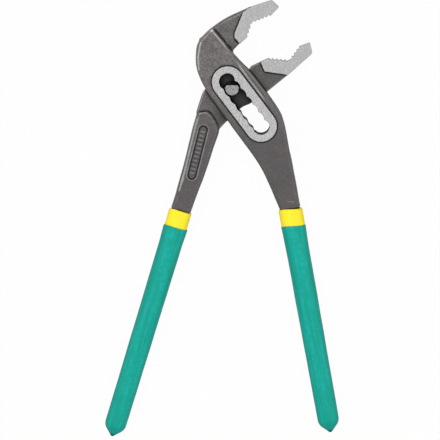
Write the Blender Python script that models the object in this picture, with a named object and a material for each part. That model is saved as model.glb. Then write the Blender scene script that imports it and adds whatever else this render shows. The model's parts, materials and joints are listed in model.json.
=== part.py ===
"""Water pump pliers with a box joint: two forged levers, a pivot pin and dipped handles.

The tool lies flat with its jaws towards +Y. The origin is the pivot axis, at the height of the
lower ring face. Every size is in millimetres; MM turns it into metres.

The upper jaw lever is drawn in the slot's frame: x runs down the slot from its first notch,
y runs across it to the jaw side. The lower jaw lever is drawn in the pin's frame, with y
towards the jaws. In both frames z = 0 is the mid plane of the tool.
"""
import math

import bmesh
import bpy
from mathutils import Vector

MM = 0.001

# Pivot pin and the notched slot it sits in
PIN_RADIUS = 3.8
PIN_FLAT_OFFSET = 2.1
PIN_END_CHAMFER = 0.3
PIN_BORE_CLEARANCE = 0.1
SLOT_CLEARANCE = 0.15
SLOT_ANGLE = math.radians(-53.05)
NOTCH_COUNT = 7
NOTCH_PITCH = 5.56
REST_NOTCH = 1
NOTCH_DEPTH = 0.95
BACK_NOTCH_DEPTH = 0.2

# Box of the upper jaw lever: its thickness and the ground ring round the slot
BOX_THICKNESS = 14.4
BEVEL = 2.0
RING_RISE = 0.5
RING_WALL = 4.6
RING_END_WALL = 4.1
RING_CHAMFER = 0.25
GROOVE_WIDTH = 0.8
GROOVE_DEPTH = 0.4

# Plate of the lower lever and the window it passes through: how far the window reaches above the
# first notch, at the left and right side of the box, and below the last notch
PLATE_THICKNESS = 6.4
WINDOW_CLEARANCE = 0.3
WINDOW_TOP_LEFT = 17.0
WINDOW_TOP_RIGHT = 7.8
WINDOW_BOTTOM = 21.2
BOX_HALF_WIDTH = 13.0

# Jaws
JAW_THICKNESS = 9.4
WEB_THICKNESS = 7.6
WEB_BEVEL = 1.1
TOOTH_DEPTH = 0.9
UPPER_FRONT_TEETH = 5
UPPER_BACK_TEETH = 3
LOWER_FRONT_TEETH = 4
LOWER_BACK_TEETH = 5

# Dipped handles: outside sizes of the grip and its walls
GRIP_WIDTH_TOP = 13.7
GRIP_WIDTH_END = 12.3
GRIP_THICKNESS_TOP = 11.6
GRIP_THICKNESS_END = 10.2
GRIP_CORNER = 4.2
GRIP_WALL = 0.9
BASE_WALL = 0.7
DIP_GAP = 0.3
COLLAR_LENGTH = 9.2
COLLAR_STEP = 0.3
LIP_ROUND = 0.4
GRIP_END_ROUND = 6.0
GRIP_END_TURN = math.radians(45)
DRIP_LENGTH = 3.7
DRIP_TIP = 2.2
SHOULDER_THICKNESS = 9.2
RIGHT_SHOULDER_WIDTH = 11.4
LEFT_SHOULDER_WIDTH = 11.2
RIGHT_HANDLE_LENGTH = 130.0
LEFT_HANDLE_LENGTH = 134.9

# Where each handle starts, at the top of its collar, and the way it points: the right one in the
# slot frame, from the last notch, and the left one in the pin frame
RIGHT_COLLAR = (47.4, -15.1)
RIGHT_HANDLE_ANGLE = math.radians(-26.7)
LEFT_COLLAR = (-29.25, -70.3)
LEFT_HANDLE_ANGLE = math.radians(-106.9)

# Recessed panel with a raised rim on both faces of the left tang
PANEL_TOP = (-16.3, -23.6)
PANEL_BOTTOM = (-22.8, -49.4)
PANEL_RADIUS = 2.6
PANEL_DEPTH = 0.7
PANEL_RIM_WIDTH = 0.8
PANEL_RIM_RISE = 0.3
TANG_TOP_THICKNESS = 9.6

# Upper jaw lever, slot frame: left edge, right edge and taper of the forging, from 0 at the box's
# thickness to 1 at the shoulder's. The head and the box start at the ridge over the neck, and are
# measured from the first notch
HEAD_STATIONS = (
    ((-28.55, 10.8), (-28.0, 12.0), 0.0),
    ((-27.4, 2.6), (-24.0, 12.2), 0.0),
    ((-24.0, -3.0), (-19.0, 12.5), 0.0),
    ((-15.1, -9.4), (-9.5, 12.4), 0.0),
    ((-3.6, -12.2), (-2.5, 13.0), 0.0),
    ((8.0, -12.8), (8.0, 14.3), 0.0),
)
# Lower end of the box and the tang, measured from the last notch
TANG_STATIONS = (
    ((-3.4, -13.3), (-3.1, 13.8), 0.0),
    ((8.0, -13.4), (6.6, 11.4), 0.12),
    ((18.7, -14.2), (18.9, 5.4), 0.38),
    ((28.8, -16.2), (31.7, -0.8), 0.73),
)
# Thinner web between the ridge and the ground jaw: its curved back, then its front
WEB_BACK = ((-27.6, 4.0), (-28.6, 11.9), (-28.0, 22.1), (-25.2, 34.8))
WEB_FRONT = ((-20.0, 36.0), (-16.0, 24.0), (-12.2, 18.8), (-11.3, 13.6), (-9.7, 12.0), (-12.0, 4.0))
# Ground jaw: back, tip, plain lead, tooth rows and heel
UPPER_JAW_BACK = ((-16.6, 18.3), (-18.8, 20.2), (-25.3, 31.2), (-25.2, 34.8))
UPPER_JAW_TIP = ((-20.7, 47.9), (-15.3, 48.9))
UPPER_TEETH_START = (-14.3, 42.3)
UPPER_TEETH_ROOT = (-17.3, 31.3)
UPPER_TEETH_END = (-12.6, 24.6)
UPPER_JAW_HEEL = (-12.0, 18.6)

# Lower jaw lever, pin frame: thin plate, ground jaw and thick tang
PLATE_DISC_RADIUS = 10.3
PLATE_DISC_START = math.radians(170)
PLATE_DISC_END = math.radians(60)
PLATE_LEFT = ((-17.0, -20.0), (-20.2, -14.0), (-18.8, -9.3), (-16.5, -2.4), (-15.1, -0.7))
PLATE_RIGHT = ((9.5, 10.2), (10.8, 12.2), (16.2, 14.7), (22.0, 13.5), (31.3, 7.2), (19.9, -2.1))
PLATE_LOWER = ((19.9, -2.1), (10.7, -8.5), (5.4, -11.1), (-2.3, -18.2), (-7.4, -23.6))
PLATE_ROOT = (-12.0, -26.0)
LOWER_JAW_TIP = ((45.0, 19.4), (45.5, 20.7), (44.2, 25.6), (42.9, 25.2))
LOWER_TEETH_START = (38.0, 23.4)
LOWER_TEETH_ROOT = (32.4, 15.7)
LOWER_TEETH_END = (20.9, 16.8)
LOWER_JAW_HEEL = ((17.0, 15.0), (16.2, 14.7), (18.4, 9.6), (28.7, 8.1), (31.6, 7.4))
LOWER_STATIONS = (
    ((-19.7, -13.9), (-14.0, -13.0), TANG_TOP_THICKNESS),
    ((-20.3, -16.0), (-11.0, -15.4), TANG_TOP_THICKNESS),
    ((-22.4, -23.5), (-7.4, -23.6), TANG_TOP_THICKNESS),
    ((-25.0, -34.3), (-10.3, -33.2), TANG_TOP_THICKNESS),
    ((-27.3, -43.5), (-13.4, -43.0), TANG_TOP_THICKNESS),
    ((-30.1, -53.6), (-16.7, -52.5), TANG_TOP_THICKNESS),
    ((-32.2, -61.4), (-20.0, -61.0), SHOULDER_THICKNESS),
)

# Finishes: colour, roughness and metallic value
FORGED_STEEL = ((0.13, 0.12, 0.12), 0.5, 0.8)
BRIGHT_STEEL = ((0.33, 0.33, 0.33), 0.4, 1.0)
YELLOW_DIP = ((1.0, 0.86, 0.04), 0.45, 0.0)
GREEN_DIP = ((0.014, 0.397, 0.287), 0.5, 0.0)
SHARP_ANGLE = math.radians(30)

# Facets, and the most of a section's width or thickness that one rounded corner takes
CORNER_LIMIT = 0.45
CURVE_STEPS = 5
CORNER_STEPS = 4
GRIP_CORNER_STEPS = 4
END_STEPS = 4
ROUND_STEPS = 48
NOTCH_STEPS = 5

# Worked out from the sizes above
TOTAL_THICKNESS = BOX_THICKNESS + 2 * RING_RISE
MID_HEIGHT = TOTAL_THICKNESS / 2
NECK = PIN_RADIUS + SLOT_CLEARANCE
SLOT_LENGTH = NOTCH_PITCH * (NOTCH_COUNT - 1)
SLOT_SHIFT = (NOTCH_DEPTH - BACK_NOTCH_DEPTH) / 2
SLOT_HALF_WIDTH = NECK + (NOTCH_DEPTH + BACK_NOTCH_DEPTH) / 2
RING_HALF_WIDTH = SLOT_HALF_WIDTH + RING_WALL
WINDOW_HEIGHT = PLATE_THICKNESS + 2 * WINDOW_CLEARANCE
CORE_INSET = GRIP_WALL + DIP_GAP + BASE_WALL + DIP_GAP
BASE_INSET = GRIP_WALL + DIP_GAP
BASE_BORE_INSET = BASE_INSET + BASE_WALL


def clear_scene():
    """Removes whatever the scene holds."""
    for item in list(bpy.data.objects):
        bpy.data.objects.remove(item, do_unlink=True)


def smooth_through(points, steps):
    """Catmull-Rom curve through points of any number of coordinates."""
    rows = [points[0]] + list(points) + [points[-1]]
    result = []
    for before, start, end, after in zip(rows, rows[1:], rows[2:], rows[3:]):
        for step in range(steps):
            t = step / steps
            result.append(tuple(
                0.5 * (2 * b + (c - a) * t + (2 * a - 5 * b + 4 * c - d) * t * t
                       + (3 * b - a - 3 * c + d) * t ** 3)
                for a, b, c, d in zip(before, start, end, after)))
    result.append(tuple(points[-1]))
    return result


def arc(centre, radius, start, end, steps, across=None):
    """Points of an arc, both ends included; across is the second radius of an elliptic one."""
    across = radius if across is None else across
    angles = [start + (end - start) * step / steps for step in range(steps + 1)]
    return [(centre[0] + radius * math.cos(a), centre[1] + across * math.sin(a)) for a in angles]


def capsule(start, end, radius, steps=ROUND_STEPS // 4):
    """Outline of a slot with round ends between two points."""
    heading = math.atan2(end[1] - start[1], end[0] - start[0])
    quarter = math.pi / 2
    far = arc(end, radius, heading - quarter, heading + quarter, 2 * steps)
    near = arc(start, radius, heading + quarter, heading + 3 * quarter, 2 * steps)
    return far + near


def toothed(start, end, count, side):
    """Saw-tooth row from start to end; roots are cut to the given side of the row."""
    row = Vector(end) - Vector(start)
    inward = Vector((-row.y, row.x)).normalized() * TOOTH_DEPTH * side
    points = []
    for tooth in range(count):
        points.append(tuple(Vector(start) + row * (tooth / count)))
        points.append(tuple(Vector(start) + row * ((tooth + 0.5) / count) + inward))
    points.append(tuple(end))
    return points


def section(left, right, thickness, corner, corner_steps):
    """Upright loop with rounded corners that stands on the line from left to right."""
    left, right = Vector(left), Vector(right)
    width = (right - left).length
    across = (right - left).normalized()
    radius = min(corner, CORNER_LIMIT * width, CORNER_LIMIT * thickness)
    loop = []
    for side, level, turn in ((1, 1, 90), (1, -1, 0), (-1, -1, -90), (-1, 1, -180)):
        for step in range(corner_steps + 1):
            angle = math.radians(turn - 90 * step / corner_steps)
            reach = width / 2 + side * (width / 2 - radius) + radius * math.cos(angle)
            height = level * (thickness / 2 - radius) + radius * math.sin(angle)
            point = left + across * reach
            loop.append((point.x, point.y, height))
    return loop


def loft(loops, bevel=0.0):
    """Closed mesh through loops of equal length; bevel rounds the edges of the two caps."""
    shape = bmesh.new()
    rings = [[shape.verts.new(Vector(point) * MM) for point in loop] for loop in loops]
    for near, far in zip(rings, rings[1:]):
        for index in range(len(near)):
            following = (index + 1) % len(near)
            shape.faces.new((near[index], near[following], far[following], far[index]))
    caps = [shape.faces.new(rings[0]), shape.faces.new(rings[-1])]
    bmesh.ops.recalc_face_normals(shape, faces=shape.faces)
    if bevel:
        rims = [edge for cap in caps for edge in cap.edges]
        bmesh.ops.bevel(shape, geom=rims, offset=bevel * MM, segments=1, affect="EDGES")
    mesh = bpy.data.meshes.new("shape")
    shape.to_mesh(mesh)
    shape.free()
    return mesh


def prism(outline, low, high, bevel=0.0):
    """Closed mesh of an outline raised from low to high."""
    return loft([[(x, y, low) for x, y in outline], [(x, y, high) for x, y in outline]], bevel)


def slab(outline, thickness, bevel=0.0):
    """Closed mesh of an outline, centred on the mid plane."""
    return prism(outline, -thickness / 2, thickness / 2, bevel)


def add_object(name, mesh):
    """Puts a mesh into the scene under a name."""
    mesh.name = name
    item = bpy.data.objects.new(name, mesh)
    bpy.context.scene.collection.objects.link(item)
    return item


def combine(item, mesh, operation):
    """Joins a mesh to an object, or cuts it out of the object."""
    tool = add_object("tool", mesh)
    modifier = item.modifiers.new("combine", "BOOLEAN")
    modifier.operation = operation
    modifier.object = tool
    result = bpy.data.meshes.new_from_object(item.evaluated_get(bpy.context.evaluated_depsgraph_get()))
    item.modifiers.clear()
    item.data = result
    result.name = item.name
    bpy.data.objects.remove(tool, do_unlink=True)


def finish(item, frame, colour, roughness, metallic):
    """Gives a piece its frame, its own material and its shading."""
    item.parent = frame
    material = bpy.data.materials.new(item.name)
    material.use_nodes = True
    shader = material.node_tree.nodes["Principled BSDF"]
    shader.inputs["Base Color"].default_value = (*colour, 1.0)
    shader.inputs["Roughness"].default_value = roughness
    shader.inputs["Metallic"].default_value = metallic
    item.data.materials.clear()
    item.data.materials.append(material)
    item.data.shade_smooth()
    item.data.set_sharp_from_angle(angle=SHARP_ANGLE)


def handle_section(collar, angle, length, along, inset, corner_steps=GRIP_CORNER_STEPS):
    """Loop across a handle: the grip's outside at that distance from the collar, less an inset."""
    share = along / length
    width = GRIP_WIDTH_TOP + (GRIP_WIDTH_END - GRIP_WIDTH_TOP) * share - 2 * inset
    thickness = GRIP_THICKNESS_TOP + (GRIP_THICKNESS_END - GRIP_THICKNESS_TOP) * share - 2 * inset
    return handle_loop(collar, angle, along, width, thickness, GRIP_CORNER - inset / 2, corner_steps)


def handle_loop(collar, angle, along, width, thickness, corner, corner_steps):
    """Loop of a given size across a handle."""
    centre = Vector(collar) + Vector((math.cos(angle), math.sin(angle))) * along
    half = Vector((-math.sin(angle), math.cos(angle))) * width / 2
    return section(centre - half, centre + half, thickness, corner, corner_steps)


def grip_straight(length):
    """Distance from the top of the collar to where the grip's end starts to round off."""
    return length - DRIP_LENGTH - GRIP_END_ROUND * math.sin(GRIP_END_TURN)


def core_length(length):
    """Length of the steel inside a grip, from the top of the collar."""
    return grip_straight(length) - DIP_GAP - BASE_WALL - DIP_GAP


def tang(stations, collar, angle, length, shoulder_width):
    """Forged bar through its stations, its shoulder above the collar, and the core of the handle."""
    rows = [(*left, *right, thickness) for left, right, thickness in stations]
    centre = Vector(collar) - Vector((math.cos(angle), math.sin(angle))) * DIP_GAP
    half = Vector((-math.sin(angle), math.cos(angle))) * shoulder_width / 2
    rows.append((*(centre - half), *(centre + half), SHOULDER_THICKNESS))
    loops = [section(row[0:2], row[2:4], row[4], BEVEL, CORNER_STEPS)
             for row in smooth_through(rows, CURVE_STEPS)]
    for along in (-DIP_GAP, core_length(length)):
        loops.append(handle_section(collar, angle, length, along, CORE_INSET, CORNER_STEPS))
    return loft(loops)


def past_slot(point):
    """Point of the slot frame that is given from the last notch."""
    return (point[0] + SLOT_LENGTH, point[1])


def upper_stations():
    """Edges and thicknesses of the upper lever's forging, in the slot frame."""
    tapers = [*HEAD_STATIONS]
    tapers += [(past_slot(left), past_slot(right), taper) for left, right, taper in TANG_STATIONS]
    drop = BOX_THICKNESS - SHOULDER_THICKNESS
    return [(left, right, BOX_THICKNESS - drop * taper) for left, right, taper in tapers]


def slot_outline():
    """Outline of the notched slot: a deep notch for each pin place, shallow ones opposite."""
    up, down, steps = math.pi * 0.5, math.pi * 1.5, 2 * NOTCH_STEPS
    first = arc((0.0, SLOT_SHIFT), NECK, down, up, steps, SLOT_HALF_WIDTH)
    last = arc((SLOT_LENGTH, SLOT_SHIFT), NECK, up, up - math.pi, steps, SLOT_HALF_WIDTH)
    return first + notched_side(1, NOTCH_DEPTH) + last + notched_side(-1, BACK_NOTCH_DEPTH)[::-1]


def notched_side(side, depth):
    """Points of one long side of the slot, between its first and its last notch."""
    half = NOTCH_PITCH / 2
    radius = (half ** 2 + depth ** 2) / (2 * depth)
    points = []
    steps = NOTCH_STEPS * 2 * (NOTCH_COUNT - 1)
    for step in range(1, steps):
        along = SLOT_LENGTH * step / steps
        offset = abs((along + half) % NOTCH_PITCH - half)
        rise = math.sqrt(radius ** 2 - offset ** 2) - (radius - depth)
        points.append((along, side * (NECK + rise)))
    return points


def ring_outline(margin):
    """Outline of the ground ring round the slot, grown by a margin."""
    end_shift = RING_HALF_WIDTH - NECK - RING_END_WALL
    radius = RING_HALF_WIDTH + margin
    return capsule((end_shift, SLOT_SHIFT), (SLOT_LENGTH - end_shift, SLOT_SHIFT), radius)


def window_outline():
    """Outline of the window that the lower lever's plate passes through."""
    middle = (WINDOW_TOP_LEFT + WINDOW_TOP_RIGHT) / 2
    rise = WINDOW_TOP_LEFT - WINDOW_TOP_RIGHT
    span = 2 * BOX_HALF_WIDTH
    bottom = SLOT_LENGTH + WINDOW_BOTTOM
    return [(-middle - rise, -span), (bottom, -span), (bottom, span), (-middle + rise, span)]


def upper_jaw_outline():
    """Outline of the ground upper jaw with its two tooth rows."""
    front = toothed(UPPER_TEETH_START, UPPER_TEETH_ROOT, UPPER_FRONT_TEETH, -1)
    back = toothed(UPPER_TEETH_ROOT, UPPER_TEETH_END, UPPER_BACK_TEETH, -1)
    return [*UPPER_JAW_BACK, *UPPER_JAW_TIP, *front, *back[1:], UPPER_JAW_HEEL]


def lower_jaw_outline():
    """Outline of the ground lower jaw with its two tooth rows."""
    front = toothed(LOWER_TEETH_START, LOWER_TEETH_ROOT, LOWER_FRONT_TEETH, 1)
    back = toothed(LOWER_TEETH_ROOT, LOWER_TEETH_END, LOWER_BACK_TEETH, 1)
    return [*LOWER_JAW_TIP, *front, *back[1:], *LOWER_JAW_HEEL]


def plate_outline():
    """Outline of the plate that passes through the box, with a round part about the pin."""
    disc = arc((0.0, 0.0), PLATE_DISC_RADIUS, PLATE_DISC_START, PLATE_DISC_END, ROUND_STEPS // 4)
    return [*PLATE_LEFT, *disc, *PLATE_RIGHT, *smooth_through(PLATE_LOWER, CURVE_STEPS)[1:], PLATE_ROOT]


def build_upper_lever(frame):
    """Upper jaw, slotted box and right tang."""
    bar = tang(upper_stations(), past_slot(RIGHT_COLLAR), RIGHT_HANDLE_ANGLE, RIGHT_HANDLE_LENGTH,
               RIGHT_SHOULDER_WIDTH)
    lever = add_object("upper_jaw_lever", bar)
    web = [*smooth_through(WEB_BACK, CURVE_STEPS), *WEB_FRONT]
    combine(lever, slab(web, WEB_THICKNESS, WEB_BEVEL), "UNION")
    combine(lever, slab(upper_jaw_outline(), JAW_THICKNESS), "UNION")
    face = BOX_THICKNESS / 2
    for low, high in ((face - GROOVE_DEPTH, face + RING_RISE), (-face - RING_RISE, GROOVE_DEPTH - face)):
        combine(lever, prism(ring_outline(GROOVE_WIDTH), low, high), "DIFFERENCE")
    combine(lever, slab(ring_outline(0.0), TOTAL_THICKNESS, RING_CHAMFER), "UNION")
    combine(lever, slab(window_outline(), WINDOW_HEIGHT), "DIFFERENCE")
    combine(lever, slab(slot_outline(), 2 * TOTAL_THICKNESS), "DIFFERENCE")
    finish(lever, frame, *FORGED_STEEL)


def build_lower_lever(frame):
    """Lower jaw, plate through the box and left tang."""
    bar = tang(LOWER_STATIONS, LEFT_COLLAR, LEFT_HANDLE_ANGLE, LEFT_HANDLE_LENGTH, LEFT_SHOULDER_WIDTH)
    lever = add_object("lower_jaw_lever", bar)
    combine(lever, slab(plate_outline(), PLATE_THICKNESS), "UNION")
    combine(lever, slab(lower_jaw_outline(), JAW_THICKNESS), "UNION")
    bore = arc((0.0, 0.0), PIN_RADIUS + PIN_BORE_CLEARANCE, 0.0, 2 * math.pi, ROUND_STEPS)[:-1]
    combine(lever, slab(bore, 2 * PLATE_THICKNESS), "DIFFERENCE")
    rim = capsule(PANEL_TOP, PANEL_BOTTOM, PANEL_RADIUS + PANEL_RIM_WIDTH)
    combine(lever, slab(rim, TANG_TOP_THICKNESS + 2 * PANEL_RIM_RISE, PANEL_RIM_RISE), "UNION")
    face = TANG_TOP_THICKNESS / 2
    pocket = capsule(PANEL_TOP, PANEL_BOTTOM, PANEL_RADIUS)
    for low, high in ((face - PANEL_DEPTH, 2 * face), (-2 * face, PANEL_DEPTH - face)):
        combine(lever, prism(pocket, low, high), "DIFFERENCE")
    finish(lever, frame, *FORGED_STEEL)


def build_pin(frame):
    """Round pin, flattened on its jaw side where it runs in the two cheeks."""
    circle = arc((0.0, 0.0), PIN_RADIUS, 0.0, 2 * math.pi, ROUND_STEPS)[:-1]
    pin = add_object("pivot_pin", slab(circle, TOTAL_THICKNESS, PIN_END_CHAMFER))
    flat = [(-2 * PIN_RADIUS, PIN_FLAT_OFFSET), (2 * PIN_RADIUS, PIN_FLAT_OFFSET),
            (2 * PIN_RADIUS, 2 * PIN_RADIUS), (-2 * PIN_RADIUS, 2 * PIN_RADIUS)]
    shoulder = PLATE_THICKNESS / 2
    for low, high in ((shoulder, TOTAL_THICKNESS), (-TOTAL_THICKNESS, -shoulder)):
        combine(pin, prism(flat, low, high), "DIFFERENCE")
    finish(pin, frame, *BRIGHT_STEEL)


def build_base_sleeve(name, frame, collar, angle, length):
    """Yellow first dip: a collar above the grip, and a thinner coat under it."""
    bottom = core_length(length) + DIP_GAP
    loops = [handle_section(collar, angle, length, bottom, BASE_BORE_INSET),
             handle_section(collar, angle, length, 0.0, BASE_BORE_INSET),
             handle_section(collar, angle, length, 0.0, COLLAR_STEP + LIP_ROUND),
             handle_section(collar, angle, length, LIP_ROUND, COLLAR_STEP),
             handle_section(collar, angle, length, COLLAR_LENGTH, COLLAR_STEP),
             handle_section(collar, angle, length, COLLAR_LENGTH, BASE_INSET),
             handle_section(collar, angle, length, bottom + BASE_WALL, BASE_INSET)]
    sleeve = add_object(name, loft(loops))
    finish(sleeve, frame, *YELLOW_DIP)


def grip_end(collar, angle, length):
    """Loops of the grip's rounded end and of the drip that hangs from it."""
    loops = []
    for step in range(END_STEPS + 1):
        turn = GRIP_END_TURN * step / END_STEPS
        along = grip_straight(length) + GRIP_END_ROUND * math.sin(turn)
        inset = GRIP_END_ROUND * (1 - math.cos(turn))
        loops.append(handle_section(collar, angle, length, along, inset))
    loops.append(handle_loop(collar, angle, length, DRIP_TIP, DRIP_TIP, DRIP_TIP, GRIP_CORNER_STEPS))
    return loops


def build_grip(name, frame, collar, angle, length):
    """Green second dip, closed at its end, with a drip."""
    mouth = COLLAR_LENGTH + DIP_GAP
    loops = [handle_section(collar, angle, length, grip_straight(length), GRIP_WALL),
             handle_section(collar, angle, length, mouth, GRIP_WALL),
             handle_section(collar, angle, length, mouth, LIP_ROUND),
             handle_section(collar, angle, length, mouth + LIP_ROUND, 0.0)]
    loops += grip_end(collar, angle, length)
    grip = add_object(name, loft(loops))
    finish(grip, frame, *GREEN_DIP)


def add_frame(name, location, angle):
    """Empty that carries the pieces of one lever."""
    empty = bpy.data.objects.new(name, None)
    empty.location = Vector(location) * MM
    empty.rotation_euler = (0.0, 0.0, angle)
    bpy.context.scene.collection.objects.link(empty)
    return empty


def main():
    clear_scene()
    rest = NOTCH_PITCH * REST_NOTCH
    first_notch = (-rest * math.cos(SLOT_ANGLE), -rest * math.sin(SLOT_ANGLE), MID_HEIGHT)
    slot_frame = add_frame("slot_frame", first_notch, SLOT_ANGLE)
    pin_frame = add_frame("pin_frame", (0.0, 0.0, MID_HEIGHT), 0.0)
    build_upper_lever(slot_frame)
    build_lower_lever(pin_frame)
    build_pin(pin_frame)
    right = (slot_frame, past_slot(RIGHT_COLLAR), RIGHT_HANDLE_ANGLE, RIGHT_HANDLE_LENGTH)
    left = (pin_frame, LEFT_COLLAR, LEFT_HANDLE_ANGLE, LEFT_HANDLE_LENGTH)
    for side, handle in (("right", right), ("left", left)):
        build_base_sleeve(side + "_base_sleeve", *handle)
        build_grip(side + "_grip", *handle)
    bpy.context.view_layer.update()


main()
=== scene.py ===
"""Looks of a pair of water pump pliers, laid out as an add-on and run as a script.

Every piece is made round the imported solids, in metres and in their frame. The levers and the pin
are finely remeshed copies of their solids with a forged, ground or turned surface. The dipped
coats are lofted afresh along the centre lines of the handles.
"""
import json
import math

import bpy
import numpy as np
from bpy.props import FloatProperty, FloatVectorProperty, IntProperty, PointerProperty, StringProperty
from bpy.types import NodeSocket, Operator, Panel, PropertyGroup
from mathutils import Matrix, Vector, noise


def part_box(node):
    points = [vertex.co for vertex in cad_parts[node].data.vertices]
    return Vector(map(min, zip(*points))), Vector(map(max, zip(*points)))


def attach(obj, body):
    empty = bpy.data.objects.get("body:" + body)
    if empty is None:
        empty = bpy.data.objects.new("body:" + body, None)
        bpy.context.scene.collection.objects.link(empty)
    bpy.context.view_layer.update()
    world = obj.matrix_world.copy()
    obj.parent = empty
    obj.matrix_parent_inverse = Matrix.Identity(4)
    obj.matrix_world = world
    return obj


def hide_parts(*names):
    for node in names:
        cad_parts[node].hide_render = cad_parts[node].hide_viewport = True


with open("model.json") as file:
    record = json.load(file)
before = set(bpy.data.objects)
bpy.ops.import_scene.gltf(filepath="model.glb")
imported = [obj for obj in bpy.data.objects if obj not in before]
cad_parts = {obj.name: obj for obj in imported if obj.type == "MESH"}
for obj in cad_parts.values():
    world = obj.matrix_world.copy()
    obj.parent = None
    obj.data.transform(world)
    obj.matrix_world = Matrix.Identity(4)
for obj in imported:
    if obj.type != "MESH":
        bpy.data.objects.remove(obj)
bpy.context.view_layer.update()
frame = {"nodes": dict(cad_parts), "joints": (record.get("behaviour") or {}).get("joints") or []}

bl_info = {
    "name": "Water Pump Pliers Looks",
    "version": (1, 0, 0),
    "blender": (4, 5, 0),
    "location": "View3D > Sidebar > Pliers",
    "description": "Dresses the packed pliers with forged, ground, turned and dipped surfaces",
    "category": "Object",
}

MM = 0.001

# Read from the frame: the slot's direction and reach, the pin's axis and the tool's mid plane
JOINTS = {joint["name"]: joint for joint in frame["joints"]}
SLOT_WAY = np.array(JOINTS["jaw_adjust"]["axis"])
SLOT_START, SLOT_END = JOINTS["jaw_adjust"]["range_m"]
PIN_LOW, PIN_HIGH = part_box("pivot_pin")
HALF_TOTAL = (PIN_HIGH.z - PIN_LOW.z) / 2
PIVOT = np.array((*JOINTS["pivot"]["pos_m"][:2], PIN_LOW.z + HALF_TOTAL))
UP = np.array((0.0, 0.0, 1.0))
IN_PLAN = np.array((1.0, 1.0, 0.0))
SLOT_FRAME = np.stack((SLOT_WAY, np.cross(UP, SLOT_WAY), UP), axis=1)

# Upright share of a face's normal above which it counts as level, and above which it is no side
LEVEL = 0.8
SLOPING = 0.5
# A face that turns away from the mouth by no more than this still counts as being on its side
MOUTH_LIMIT = -0.3
# Way along the slot that the mouth side of each jaw faces
UPPER_MOUTH, LOWER_MOUTH = 1.0, -1.0
# Order of the finishes in a lever's material slots
FORGED, GROUND, MACHINED, RING = range(4)
# Sockets of the node that mixes two colours
MIX_AMOUNT, MIX_LOW, MIX_HIGH, MIX_RESULT = 0, 6, 7, 2
# Radians that the wave texture turns through in a unit of its scale
WAVE_TURN = 20.0
# How far the flat faces stay inside the solids' own
FACE_CLEARANCE = 0.001 * MM
# Steps from the slot's first notch to its last one
SLOT_STEPS = 6
# Share of the way to its neighbours' mean that a point is drawn in one round of smoothing
DRAW = 0.5
# Ends of the thin bright lines, in plan, in millimetres from the pin's axis: painted highlight on the head's
# back rim, and a scratch and a mark on the tangs
HIGHLIGHT_AND_SCRATCH_LINES = {
    "scratch on the right tang": ((31.4, -64.4), (35.0, -64.7)),
    "upper part of the head's back rim": ((-17.8, 26.3), (-19.4, 17.4)),
    "lower part of the head's back rim": ((-19.4, 17.4), (-18.8, 11.0)),
    "mark on the left tang": ((-27.7, -49.6), (-29.9, -58.0)),
}
# Points round a dipped coat, and loops along it
LOOP_POINTS = 72
COAT_LOOPS = 90
ROUND_LOOPS = 8
# Waves of the line a coat stops at: two round the handle, and three lower ones. The two have a fixed
# shift, and the three one by the mouth's place, in radians to a metre, so that no two lines are alike
FIRST_SHIFT = 1.0
SECOND_WAVE = 0.6
SECOND_SHIFT = 100.0
# Shares of a grip over which its mouth's bead dies away and its unevenness sets in
MOUTH_SHARE = 1 / 6
SETTLING_SHARE = 1 / 12
# Share of its radius that the last loop of a drip keeps
LAST_LOOP = 0.05


def length(name, description, millimetres):
    """Property for a length, given in millimetres and kept in metres."""
    return FloatProperty(name=name, description=description, default=millimetres * MM, unit="LENGTH",
                         precision=5)


def number(name, description, value):
    """Property for a plain number."""
    return FloatProperty(name=name, description=description, default=value)


def share(name, description, value):
    """Property for a share between nothing and all."""
    return FloatProperty(name=name, description=description, default=value, min=0.0, max=1.0,
                         subtype="FACTOR")


def angle(name, description, degrees):
    """Property for an angle, given in degrees."""
    return FloatProperty(name=name, description=description, default=math.radians(degrees), subtype="ANGLE")


def whole(name, description, value):
    """Property for a whole number."""
    return IntProperty(name=name, description=description, default=value)


def tint(name, description, code):
    """Property for an sRGB colour as a hex code."""
    return StringProperty(name=name, description=description, default=code)


def spot(name, description, x, y):
    """Property for a place in plan, given in millimetres from the pin's axis and kept in metres."""
    return FloatVectorProperty(name=name, description=description, default=(x * MM, y * MM), size=2,
                               subtype="XYZ", unit="LENGTH", precision=5)


def lamp_place(name, description, metres):
    """Property for the place of a lamp, in metres."""
    return FloatVectorProperty(name=name, description=description, default=metres, size=3,
                               subtype="XYZ", unit="LENGTH")


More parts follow.
